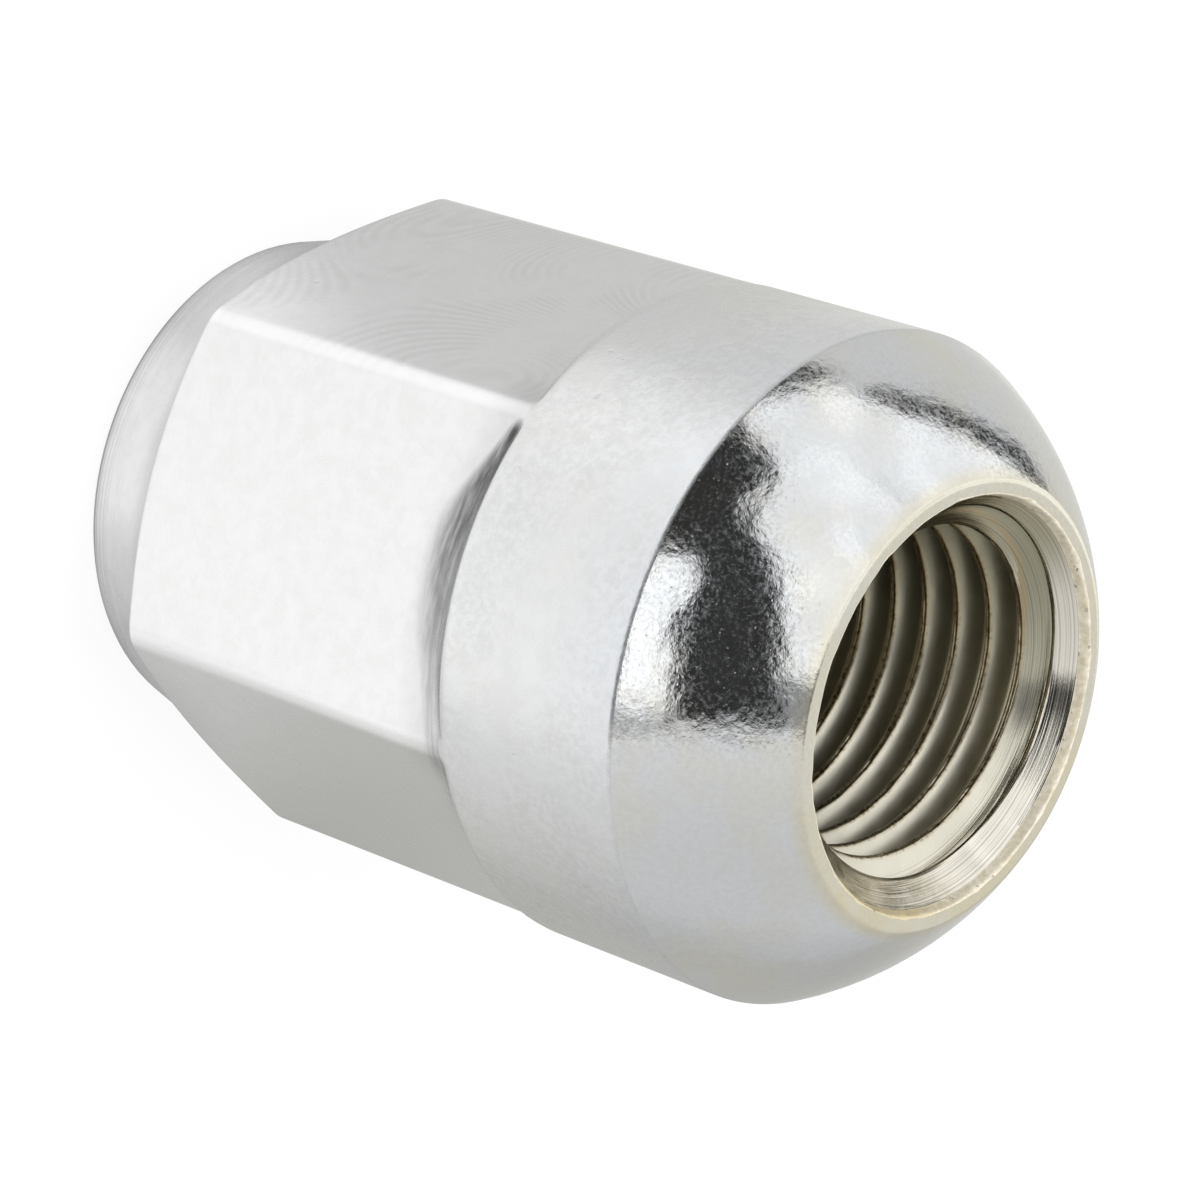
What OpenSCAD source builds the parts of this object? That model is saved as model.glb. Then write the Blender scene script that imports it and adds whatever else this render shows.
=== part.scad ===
// Wheel lug nut with a ball seat: one forged and turned steel piece.
// It stands on its closed end, with its axis on Z and the threaded mouth up.
// The thread is drawn as its core bore. All sizes are in millimetres.

/* [Overall] */
// Length from the closed end to the mouth's face
nut_len = 35; // [30:0.5:45]

/* [Thread] */
// Nominal diameter of the wheel stud's thread
thread_d = 14; // [12:0.5:15]
// Pitch of the right-hand thread
thread_pitch = 1.5; // [1:0.25:2]
// Thickness of the closed end under the bore
end_wall = 3.2; // [2:0.1:6]
// Point angle of the drill that left the bore's blind end
drill_angle = 118; // [100:1:150]
// Width of the flat that the drill's chisel edge left at the bottom
drill_flat = 1.2; // [0.5:0.1:3]

/* [Mouth] */
// Room around the stud's thread at the mouth's edge
mouth_clearance = 0.75; // [0.4:0.05:1]
// Depth of the short steep land inside the mouth's edge
land_depth = 0.4; // [0.2:0.1:0.8]
// Taper of the land against the axis
land_taper = 18; // [5:1:30]
// Included angle of the countersink between the land and the thread
lead_angle = 90; // [60:5:120]
// Width of the rim from the mouth's edge to the start of the seat
rim_width = 0.55; // [0.5:0.05:1.2]
// Rounding of the rim between the mouth's face and the seat
rim_round = 0.4; // [0.2:0.05:0.5]

/* [Ball seat] */
// Radius of the ball that the seat is part of
seat_ball_r = 14; // [12:0.1:18]
// Depth of the seat from the mouth's face to the collar
seat_depth = 5.17; // [4:0.01:6]
// Rounding of the edge between seat and collar
seat_edge_round = 0.5; // [0.2:0.1:1]

/* [Collar] */
// Diameter of the plain round collar
collar_d = 25.2; // [24:0.1:28]
// Length of the collar between the seat and the shoulder
collar_len = 8.1; // [5:0.1:11]
// Radius of the hollow fillet that runs the shoulder out on the flats
shoulder_fillet = 4.4; // [2:0.1:6]
// Depth by which the fillet's foot lies under the middle of each flat
fillet_sink = 0.05; // [0.02:0.01:0.2]

/* [Hexagon] */
// Spanner size across the flats
hex_af = 22; // [19:0.5:24]
// Rounding of the six corners
hex_corner_round = 1; // [0.5:0.1:1.6]
// Angle of the turned end chamfer against the hexagon's end plane
hex_chamfer_angle = 30; // [15:1:45]

/* [Closed end] */
// Step from the flats in to the root of the turned end
end_inset = 0.38; // [0.1:0.02:1]
// Length of the turned end below the hexagon
end_len = 4.1; // [2:0.1:6]
// Draft of the turned end against the axis
end_draft = 14; // [4:1:20]
// Rounding of the edge that the nut stands on
end_round = 0.5; // [0.2:0.1:1.2]

/* [Hidden] */
$fn = 96;

// Height of the basic triangle of a metric thread, as a share of the pitch
metric_triangle = sqrt(3) / 2;
// Depth of the inner thread, five eighths of the basic triangle
thread_height = 5 / 8 * metric_triangle * thread_pitch;
// Room by which a cutter runs past the face that it cuts
cut_over = 1;
// Height by which a round would stand over the sides that it joins
round_overlap = 0.01;
// Number of flats on a spanner hexagon
flats = 6;
// Angle between neighbouring flats
flat_step = 360 / flats;

// Radii of the bore and the turned surfaces
core_r = thread_d / 2 - thread_height;
mouth_r = thread_d / 2 + mouth_clearance;
land_r = mouth_r - land_depth * tan(land_taper);
rim_r = mouth_r + rim_width;
collar_r = collar_d / 2;
flat_r = hex_af / 2;
end_top_r = flat_r - end_inset;
end_r = end_top_r - end_len * tan(end_draft);

// Levels along the axis, up from the closed end
thread_z = end_wall + (core_r - drill_flat / 2) / tan(drill_angle / 2);
land_z = nut_len - land_depth;
lead_z = land_z - (land_r - core_r) / tan(lead_angle / 2);
seat_z = nut_len - seat_depth;
shoulder_z = seat_z - collar_len;

// Centre of the seat's arc, which runs from the rim to the collar
seat_chord = [collar_r - rim_r, -seat_depth];
seat_half = norm(seat_chord) / 2;
seat_inward = [-seat_depth, rim_r - collar_r] / norm(seat_chord);
seat_centre = [rim_r, nut_len] + seat_chord / 2
    + sqrt(pow(seat_ball_r, 2) - pow(seat_half, 2)) * seat_inward;

// Round between seat and collar: it touches both from inside
edge_r = collar_r - seat_edge_round;
edge_ball_r = seat_ball_r - seat_edge_round;
edge_rise = sqrt(pow(edge_ball_r, 2) - pow(edge_r - seat_centre[0], 2));
edge_centre = [edge_r, seat_centre[1] + edge_rise];
edge_ball_touch = seat_centre + (edge_centre - seat_centre) * seat_ball_r / edge_ball_r;
edge_collar_touch = [collar_r, edge_centre[1]];

// Round of the rim: it touches the seat and the mouth's face from inside
rim_ball_r = seat_ball_r - rim_round;
rim_rise = nut_len - rim_round - seat_centre[1];
rim_run = sqrt(pow(rim_ball_r, 2) - pow(rim_rise, 2));
rim_centre = seat_centre + [rim_run, rim_rise];
rim_ball_touch = seat_centre + (rim_centre - seat_centre) * seat_ball_r / rim_ball_r;
rim_face_touch = [rim_centre[0], nut_len];

// Hollow fillet: it leaves the shoulder and runs out just under the flats
fillet_r = flat_r - fillet_sink + shoulder_fillet;
fillet_reach = min(collar_r, fillet_r);
fillet_drop = sqrt(pow(shoulder_fillet, 2) - pow(fillet_r - fillet_reach, 2));
fillet_z = shoulder_z - fillet_drop;

// Round of the standing edge: it touches the end's face and its cone
end_tangent = end_round * tan((90 - end_draft) / 2);
end_centre = [end_r - end_tangent, end_round];
end_face_touch = [end_centre[0], 0];
end_cone_touch = [end_r, 0] + end_tangent * [sin(end_draft), cos(end_draft)];

// Rounded corners of the hexagon
corner_centre = [(flat_r - hex_corner_round) / cos(flat_step / 2), 0];
corner_tip_r = corner_centre[0] + hex_corner_round + round_overlap;
corner_touch = hex_corner_round * [cos(flat_step / 2), sin(flat_step / 2)];
chamfer_r = corner_tip_r + cut_over;
chamfer_z = end_len + (chamfer_r - end_top_r) * tan(hex_chamfer_angle);

// Point just past a, seen from the centre
function past(centre, a) = a + cut_over * (a - centre) / norm(a - centre);

// Waste outside a round that touches the two sides of a corner at a and b
// The round meets its sides at a faint crease, as a tool leaves it
module corner_waste(centre, a, b, r) {
    side_a = past(centre, a);
    side_b = past(centre, b);
    difference() {
        polygon([centre, side_a, side_a + side_b - centre, side_b]);
        translate(centre)
            circle(r + round_overlap);
    }
}

// Half section of the seat and the collar, from the shoulder to the mouth
module seat_section() {
    difference() {
        union() {
            intersection() {
                translate(seat_centre)
                    circle(seat_ball_r);
                translate([0, shoulder_z])
                    square([collar_r, nut_len - shoulder_z]);
            }
            translate([0, shoulder_z])
                square([collar_r, edge_centre[1] - shoulder_z]);
        }
        corner_waste(edge_centre, edge_collar_touch, edge_ball_touch, seat_edge_round);
        corner_waste(rim_centre, rim_ball_touch, rim_face_touch, rim_round);
    }
}

// Half section of the hollow fillet under the shoulder
module shoulder_section() {
    difference() {
        translate([0, fillet_z])
            square([fillet_reach, fillet_drop]);
        translate([fillet_r, fillet_z])
            circle(shoulder_fillet);
    }
}

// Half section of the turned end, with its rounded standing edge
module end_section() {
    difference() {
        polygon([
            [0, 0],
            [end_r, 0],
            [end_top_r, end_len],
            [0, end_len]
        ]);
        corner_waste(end_centre, end_face_touch, end_cone_touch, end_round);
    }
}

// Outline of the hexagon, with its six corners rounded
module hex_outline() {
    difference() {
        circle(flat_r / cos(flat_step / 2), $fn = flats);
        for (i = [0 : flats - 1])
            rotate(i * flat_step)
                corner_waste(
                    corner_centre,
                    corner_centre + [corner_touch[0], -corner_touch[1]],
                    corner_centre + corner_touch,
                    hex_corner_round
                );
    }
}

// Spanner hexagon, chamfered at its free end and closed by the shoulder
module hexagon() {
    intersection() {
        translate([0, 0, end_len])
            linear_extrude(shoulder_z - end_len)
                hex_outline();
        rotate_extrude()
            polygon([
                [0, end_len],
                [end_top_r, end_len],
                [chamfer_r, chamfer_z],
                [chamfer_r, shoulder_z + cut_over],
                [0, shoulder_z + cut_over]
            ]);
    }
}

// Blind bore: land, countersink, thread core and drill point
module bore() {
    rotate_extrude()
        polygon([
            [0, end_wall],
            [drill_flat / 2, end_wall],
            [core_r, thread_z],
            [core_r, lead_z],
            [land_r, land_z],
            [mouth_r, nut_len],
            [mouth_r, nut_len + cut_over],
            [0, nut_len + cut_over]
        ]);
}

// The whole nut
module lug_nut() {
    color("silver")
        difference() {
            union() {
                rotate_extrude()
                    end_section();
                hexagon();
                rotate_extrude()
                    shoulder_section();
                rotate_extrude()
                    seat_section();
            }
            bore();
        }
}

lug_nut();
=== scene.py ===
"""Looks of a plated steel wheel lug nut with a ball seat.

The nut stands on its closed end, with its axis on Z and its mouth up. One
closed skin is worked out as rings of points: the turned end, the hexagon that
runs out in the hollow shoulder, the collar, the ball seat and the rim. A
helical sheet carries the skin on down the countersink and the thread to the
drill point. Sizes are in millimetres until the skin is put into its mesh.
"""

import logging
import math
from dataclasses import dataclass, field
from enum import Enum
from functools import reduce
from typing import Union

import bpy
import numpy as np
from mathutils import Matrix, Vector


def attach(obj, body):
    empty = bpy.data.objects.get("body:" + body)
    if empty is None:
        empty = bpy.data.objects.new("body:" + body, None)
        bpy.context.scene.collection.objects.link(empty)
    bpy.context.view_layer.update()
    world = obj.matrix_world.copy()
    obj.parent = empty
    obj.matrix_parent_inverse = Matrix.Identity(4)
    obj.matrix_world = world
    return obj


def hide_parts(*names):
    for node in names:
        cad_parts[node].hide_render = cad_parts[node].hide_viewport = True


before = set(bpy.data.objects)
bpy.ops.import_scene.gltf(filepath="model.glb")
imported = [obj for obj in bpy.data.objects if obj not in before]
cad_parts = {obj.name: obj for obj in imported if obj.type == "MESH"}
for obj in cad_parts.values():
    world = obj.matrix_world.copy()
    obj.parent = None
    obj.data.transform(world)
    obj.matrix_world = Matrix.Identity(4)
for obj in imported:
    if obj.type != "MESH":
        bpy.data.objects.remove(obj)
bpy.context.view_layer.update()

log = logging.getLogger("lug_nut")

Array = np.ndarray
Level = Union[float, Array]
Point = Union[tuple[Level, Level], Array]
Span = tuple[float, float]
Triple = tuple[float, float, float]
Colour = Triple
Socket = bpy.types.NodeSocket
Operand = Union[Socket, float, tuple]
Inputs = Union[dict[str, Operand], tuple[Operand, ...]]

MM = 0.001
BODY = "root"
CAD_NODE = "lug_nut"


class Zone(Enum):
    """Areas of the nut with a finish of their own; the value is the slot."""

    TURNED_END = 0
    PLATE = 1
    COLLAR = 2
    SEAT = 3
    RIM = 4
    BORE = 5


# Rings of points


def even(count: int) -> Array:
    """Shares from 0 to 1 in equal steps."""
    return np.linspace(0.0, 1.0, count + 1)


def eased(count: int) -> Array:
    """Shares from 0 to 1, close together at both ends like a cosine."""
    return 0.5 - 0.5 * np.cos(np.pi * even(count))


def mix(a: Level, b: Level, share: Level) -> Level:
    """Value that lies the given share of the way from a to b."""
    return a + (b - a) * share


def smooth(low: float, high: float, value: Array) -> Array:
    """Cubic step from 0 at low to 1 at high."""
    share = np.clip((value - low) / (high - low), 0.0, 1.0)
    return share * share * (3.0 - 2.0 * share)


def soft_max(a: Level, b: Level, soft: Level) -> Level:
    """Larger of two values, with the corner between them rounded off."""
    return 0.5 * (a + b + np.sqrt((a - b) ** 2 + soft**2))


def ripple(angle: Array, parts: tuple[Triple, ...]) -> Array:
    """Sum of sines, each given by its waves per turn, start and strength."""
    return sum(strength * np.sin(n * angle + start) for n, start, strength in parts)


@dataclass
class Band:
    """Strip of the skin: rows of radius and height over the columns."""

    zone: Zone
    radius: Array
    height: Array


@dataclass
class Loom:
    """Makes bands over one set of column angles."""

    angles: Array

    def _rows(self, level: Level, share: Array) -> Array:
        """Spreads a level over rows and columns."""
        return np.broadcast_to(level, (share.size, self.angles.size)).copy()

    def line(self, zone: Zone, a: Point, b: Point, share: Array) -> Band:
        """Straight strip: each point is a plus its share of the way to b.

        Args:
            zone: Finish of the strip.
            a: Radius and height at the strip's first row.
            b: Radius and height at its last row.
            share: Share of each row, from 0 to 1.

        Returns:
            The strip.
        """
        t = share[:, None]
        return Band(
            zone,
            self._rows(mix(np.asarray(a[0]), np.asarray(b[0]), t), share),
            self._rows(mix(np.asarray(a[1]), np.asarray(b[1]), t), share),
        )

    def arc(
        self,
        zone: Zone,
        centre: Point,
        reach: float,
        turn: tuple[Level, Level],
        share: Array,
    ) -> Band:
        """Round strip: centre plus reach times cosine and sine of an angle.

        Args:
            zone: Finish of the strip.
            centre: Radius and height of the arc's centre.
            reach: Radius of the arc itself.
            turn: First and last angle, in radians up from the radius.
            share: Share of each row, from 0 to 1.

        Returns:
            The strip.
        """
        angle = mix(np.asarray(turn[0]), np.asarray(turn[1]), share[:, None])
        return Band(
            zone,
            self._rows(centre[0] + reach * np.cos(angle), share),
            self._rows(centre[1] + reach * np.sin(angle), share),
        )

    def bend(
        self, zone: Zone, a: Point, knee: Point, b: Point, share: Array
    ) -> Band:
        """Soft corner: a parabola from a to b that leaves and ends at knee.

        Args:
            zone: Finish of the strip.
            a: Radius and height where the strip starts.
            knee: Corner that the strip cuts.
            b: Radius and height where the strip ends.
            share: Share of each row, from 0 to 1.

        Returns:
            The strip.
        """
        t = share[:, None]
        near, middle, far = (1 - t) ** 2, 2 * t * (1 - t), t**2
        return Band(
            zone,
            self._rows(near * a[0] + middle * knee[0] + far * b[0], share),
            self._rows(near * a[1] + middle * knee[1] + far * b[1], share),
        )


# Sub-assemblies of the nut


@dataclass
class Hexagon:
    """Spanner hexagon with rounded corners and a turned end chamfer."""

    across_flats: float = 22.0
    corner_round: float = 1.0
    chamfer_angle: float = math.radians(30.0)
    edge_soft: float = 0.16
    corner_columns: int = 10
    flat_columns: int = 24
    flats: int = 6

    @property
    def flat_r(self) -> float:
        """Distance of each flat from the axis."""
        return self.across_flats / 2

    @property
    def half(self) -> float:
        """Half the angle between neighbouring corners."""
        return math.pi / self.flats

    @property
    def corner_centre(self) -> float:
        """Distance of each corner round's centre from the axis."""
        return (self.flat_r - self.corner_round) / math.cos(self.half)

    def columns(self) -> Array:
        """Column angles, dense on the corner rounds.

        A round's columns are at equal turns of its own normal. Those of a
        flat are eased, so that they close up beside the rounds.

        Returns:
            Angles from 0 up to a full turn, which is left out.
        """
        turn = mix(-self.half, self.half, even(self.corner_columns))
        corner = np.arctan2(
            self.corner_round * np.sin(turn),
            self.corner_centre + self.corner_round * np.cos(turn),
        )
        gap = mix(corner[-1], 2 * self.half + corner[0], eased(self.flat_columns))
        sector = np.concatenate([corner, gap[1:-1]])
        starts = 2 * self.half * np.arange(self.flats)
        angles = (starts[:, None] + sector[None, :]).ravel()
        return np.sort(np.mod(angles, 2 * math.pi))

    def reach(self, angles: Array) -> Array:
        """Radius of the rounded hexagon at each angle.

        A flat is its distance over the cosine of the angle from its middle.
        A corner is the far crossing of the ray with the corner's circle.

        Args:
            angles: Angles around the axis.

        Returns:
            Radius at each angle.
        """
        off = np.mod(angles + self.half, 2 * self.half) - self.half
        flat = self.flat_r / np.cos(self.half - np.abs(off))
        inside = self.corner_round**2 - (self.corner_centre * np.sin(off)) ** 2
        corner = self.corner_centre * np.cos(off) + np.sqrt(np.maximum(inside, 0.0))
        touch = math.atan2(
            self.corner_round * math.sin(self.half),
            self.corner_centre + self.corner_round * math.cos(self.half),
        )
        return np.where(np.abs(off) < touch, corner, flat)


@dataclass
class ClosedEnd:
    """Turned end that the nut stands on, below the hexagon's chamfer."""

    inset: float = 0.38
    length: float = 4.1
    draft: float = math.radians(14.0)
    edge_round: float = 0.5
    root_soft: float = 0.14
    middle_r: float = 0.6
    soft_limit: float = 0.45
    face_rows: int = 8
    edge_rows: int = 7
    cone_rows: int = 12
    root_rows: int = 4
    chamfer_rows: int = 6
    rim_rows: int = 5

    def bands(self, loom: Loom, hexagon: Hexagon) -> list[Band]:
        """Strips from the middle of the end's face up to the flats' chamfer.

        Args:
            loom: Maker of bands.
            hexagon: Hexagon above the end.

        Returns:
            Face, standing edge, cone, root, chamfer and the chamfer's edge.
        """
        top_r = hexagon.flat_r - self.inset
        foot_r = top_r - self.length * math.tan(self.draft)
        lean = np.array([math.sin(self.draft), math.cos(self.draft)])
        tangent = self.edge_round * math.tan((math.pi / 2 - self.draft) / 2)
        centre = (foot_r - tangent, self.edge_round)
        foot = np.array([foot_r, 0.0]) + tangent * lean
        root = np.array([top_r, self.length])
        reach = hexagon.reach(loom.angles)
        tilt = hexagon.chamfer_angle
        rise = np.array([math.cos(tilt), math.sin(tilt)])
        slant = (reach - top_r) / rise[0]
        edge = (reach, self.length + slant * rise[1])
        soft = np.minimum(hexagon.edge_soft, self.soft_limit * slant)
        below = root - self.root_soft * lean
        above = root + self.root_soft * rise
        cut = (edge[0] - soft * rise[0], edge[1] - soft * rise[1])
        over = (edge[0], edge[1] + soft)
        middle, brink = (self.middle_r, 0.0), (centre[0], 0.0)
        turn = (-math.pi / 2, -self.draft)
        zone = Zone.TURNED_END
        return [
            loom.line(zone, middle, brink, eased(self.face_rows)),
            loom.arc(zone, centre, self.edge_round, turn, even(self.edge_rows)),
            loom.line(zone, foot, below, eased(self.cone_rows)),
            loom.bend(zone, below, root, above, even(self.root_rows)),
            loom.line(zone, above, cut, eased(self.chamfer_rows)),
            loom.bend(Zone.PLATE, cut, edge, over, even(self.rim_rows)),
        ]


@dataclass
class Shoulder:
    """Hollow fillet that runs the flats out under the collar."""

    fillet: float = 4.4
    sink: float = 0.05
    lead: float = 1.2
    blend: float = 0.12
    lean: float = 0.5
    edge_soft: float = 0.3
    crowd: float = 1.5
    flat_rows: int = 16
    hollow_rows: int = 28
    edge_rows: int = 5

    def hollow(
        self, reach: Array, height: Array, middle_r: float, level: float
    ) -> Array:
        """Radius of flat and fillet together, with a soft crease between.

        The fillet is its centre's radius less the half chord of its circle,
        and leans inwards below the centre. The crease's blend fades out down
        the flat.

        Args:
            reach: Radius of the hexagon in each column.
            height: Heights of the rows.
            middle_r: Radius of the fillet's centre.
            level: Height of the fillet's centre.

        Returns:
            Radius over rows and columns.
        """
        above = np.clip(height - level, 0.0, self.fillet)
        below = np.clip(level - height, 0.0, None)
        chord = np.sqrt(self.fillet**2 - above**2)
        fillet = middle_r - chord - self.lean * below
        blend = self.blend * smooth(level - self.lead, level, height)
        return soft_max(reach, fillet, blend)

    def bands(
        self, loom: Loom, hexagon: Hexagon, start: Array, collar_r: float, top: float
    ) -> list[Band]:
        """Strips of the flats and of the hollow above them.

        Args:
            loom: Maker of bands.
            hexagon: Hexagon whose flats end here.
            start: Height at which each column's flat starts.
            collar_r: Radius of the collar.
            top: Height of the collar's lower edge.

        Returns:
            Flats, hollow and the collar's lower edge.
        """
        middle_r = hexagon.flat_r - self.sink + self.fillet
        last = math.acos((middle_r - collar_r) / self.fillet)
        level = top - self.fillet * math.sin(last)
        end_z = level + self.fillet * math.sin(last - self.edge_soft / self.fillet)
        reach = hexagon.reach(loom.angles)
        foot = (reach, level - self.lead)
        share = 1.0 - (1.0 - even(self.hollow_rows)) ** self.crowd
        climb = loom.line(Zone.PLATE, foot, (reach, end_z), share)
        radius = self.hollow(reach, climb.height, middle_r, level)
        hollow = Band(Zone.PLATE, np.minimum(radius, collar_r), climb.height)
        end = (hollow.radius[-1], end_z)
        lip = (collar_r, top + self.edge_soft)
        return [
            loom.line(Zone.PLATE, (reach, start), foot, eased(self.flat_rows)),
            hollow,
            loom.bend(Zone.COLLAR, end, (collar_r, top), lip, even(self.edge_rows)),
        ]


@dataclass
class BallSeat:
    """Round collar and the ball seat above it, up to the mouth's rim."""

    collar_d: float = 25.2
    collar_len: float = 8.1
    ball_r: float = 14.0
    depth: float = 5.17
    edge_round: float = 0.5
    rim_round: float = 0.4
    collar_rows: int = 12
    edge_rows: int = 6
    seat_rows: int = 30
    rim_rows: int = 8

    @property
    def collar_r(self) -> float:
        """Radius of the collar."""
        return self.collar_d / 2

    def centre(self, rim_r: float, top: float) -> Array:
        """Centre of the ball's arc through the rim and the collar's edge.

        It lies on the line square to the chord's middle, on the inner side.

        Args:
            rim_r: Radius at which the seat meets the mouth's face.
            top: Height of the mouth's face.

        Returns:
            Radius and height of the centre.
        """
        chord = np.array([self.collar_r - rim_r, -self.depth])
        inward = np.array([chord[1], -chord[0]]) / np.hypot(*chord)
        stand = math.sqrt(self.ball_r**2 - np.dot(chord, chord) / 4)
        return np.array([rim_r, top]) + chord / 2 + stand * inward

    def bands(
        self, loom: Loom, start: Array, rim_r: float, top: float
    ) -> tuple[list[Band], float]:
        """Strips of the collar, its upper edge, the seat and the rim's round.

        Args:
            loom: Maker of bands.
            start: Height at which each column's collar starts.
            rim_r: Radius at which the seat meets the mouth's face.
            top: Height of the mouth's face.

        Returns:
            The strips, and the radius at which the mouth's face starts.
        """
        ball = self.centre(rim_r, top)
        edge_r = self.collar_r - self.edge_round
        edge_reach = self.ball_r - self.edge_round
        edge_turn = math.acos((edge_r - ball[0]) / edge_reach)
        edge = (edge_r, ball[1] + edge_reach * math.sin(edge_turn))
        rim_z, rim_reach = top - self.rim_round, self.ball_r - self.rim_round
        rim_turn = math.asin((rim_z - ball[1]) / rim_reach)
        rim = (ball[0] + rim_reach * math.cos(rim_turn), rim_z)
        foot, head = (self.collar_r, start), (self.collar_r, edge[1])
        low, middle = (0.0, edge_turn), (edge_turn, rim_turn)
        high = (rim_turn, math.pi / 2)
        strips = [
            loom.line(Zone.COLLAR, foot, head, eased(self.collar_rows)),
            loom.arc(Zone.COLLAR, edge, self.edge_round, low, even(self.edge_rows)),
            loom.arc(Zone.SEAT, ball, self.ball_r, middle, eased(self.seat_rows)),
            loom.arc(Zone.SEAT, rim, self.rim_round, high, even(self.rim_rows)),
        ]
        return strips, rim[0]


@dataclass
class Mouth:
    """Mouth of the bore: its flat rim, chipped edge and short steep land."""

    radius: float = 7.75
    land_depth: float = 0.4
    land_taper: float = math.radians(18.0)
    rim_width: float = 0.55
    edge_soft: float = 0.09
    chip: float = 0.07
    chip_most: float = 2.0
    chip_waves: tuple[Triple, ...] = ((11, 0.4, 1.0), (23, 2.0, 1.0), (47, 5.1, 0.8))
    lip_share: float = 0.6
    face_rows: int = 4
    edge_rows: int = 5
    land_rows: int = 4

    @property
    def rim_r(self) -> float:
        """Radius at which the seat would meet the mouth's face."""
        return self.radius + self.rim_width

    @property
    def land_r(self) -> float:
        """Radius at the land's foot, where the countersink starts."""
        return self.radius - self.land_depth * math.tan(self.land_taper)

    def chips(self, angles: Array) -> Array:
        """Width of the chipped edge: a sum of sines cut off at nothing.

        Args:
            angles: Column angles.

        Returns:
            Width by which the edge is broken at each angle.
        """
        waves = np.clip(ripple(angles, self.chip_waves), 0.0, self.chip_most)
        return self.edge_soft + self.chip * waves

    def bands(self, loom: Loom, start_r: float, top: float) -> list[Band]:
        """Strips of the mouth's face, its chipped edge and the land.

        Args:
            loom: Maker of bands.
            start_r: Radius at which the face starts.
            top: Height of the face.

        Returns:
            Face, edge and land, which ends at the countersink.
        """
        broken = self.chips(loom.angles)
        lean = np.array([math.sin(self.land_taper), math.cos(self.land_taper)])
        lip = (self.radius + self.lip_share * broken, top)
        wall = (self.radius - broken * lean[0], top - broken * lean[1])
        foot = (self.land_r, top - self.land_depth)
        return [
            loom.line(Zone.SEAT, (start_r, top), lip, eased(self.face_rows)),
            loom.bend(Zone.RIM, lip, (self.radius, top), wall, even(self.edge_rows)),
            loom.line(Zone.RIM, wall, foot, eased(self.land_rows)),
        ]


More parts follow.
